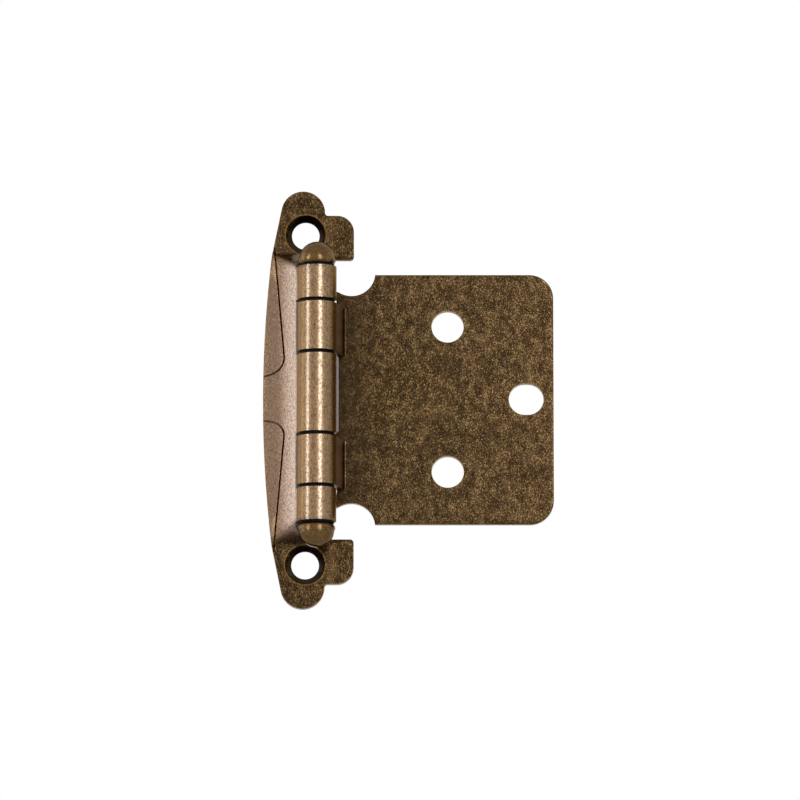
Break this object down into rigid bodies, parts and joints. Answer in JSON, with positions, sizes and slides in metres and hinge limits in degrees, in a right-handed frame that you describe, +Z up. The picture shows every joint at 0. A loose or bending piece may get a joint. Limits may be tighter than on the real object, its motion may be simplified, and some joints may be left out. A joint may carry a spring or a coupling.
{
  "type": "self-closing cabinet hinge",
  "caption": "Face-mount self-closing cabinet hinge: bowed frame leaf with countersunk lobes, plain door leaf, spring-loaded barrel with acorn ends, aged brass finish.",
  "frame": {"origin": "midway between the two frame screw holes, on the back of the frame leaf's flat ends", "axes": "+Z up along the pin, +Y into the cabinet frame, +X across the leaf towards the pin"},
  "size_m": [0.0484, 0.0098, 0.0702],
  "materials": {
    "frame_brass": "antique brass plate on steel, brushed back",
    "door_brass": "dark antique brass plate on steel, speckled",
    "pin_steel": "plated steel",
    "spring_steel": "smooth blued spring steel",
    "finial_brass": "antique brass, smooth"
  },
  "bodies": {
    "frame_side": {"frame_leaf": "frame_brass", "closing_spring": "spring_steel"},
    "door_side": {"door_leaf": "door_brass", "hinge_pin": "pin_steel", "upper_finial": "finial_brass", "lower_finial": "finial_brass"}
  },
  "joints": [
    {"name": "door_swing", "type": "hinge", "parent": "frame_side", "child": "door_side", "pos_m": [0.00196, -0.0065, 0], "axis": [0, 0, -1], "range_deg": [0, 180], "stiffness_Nm_per_rad": 0.05, "deforming": ["closing_spring"]}
  ]
}
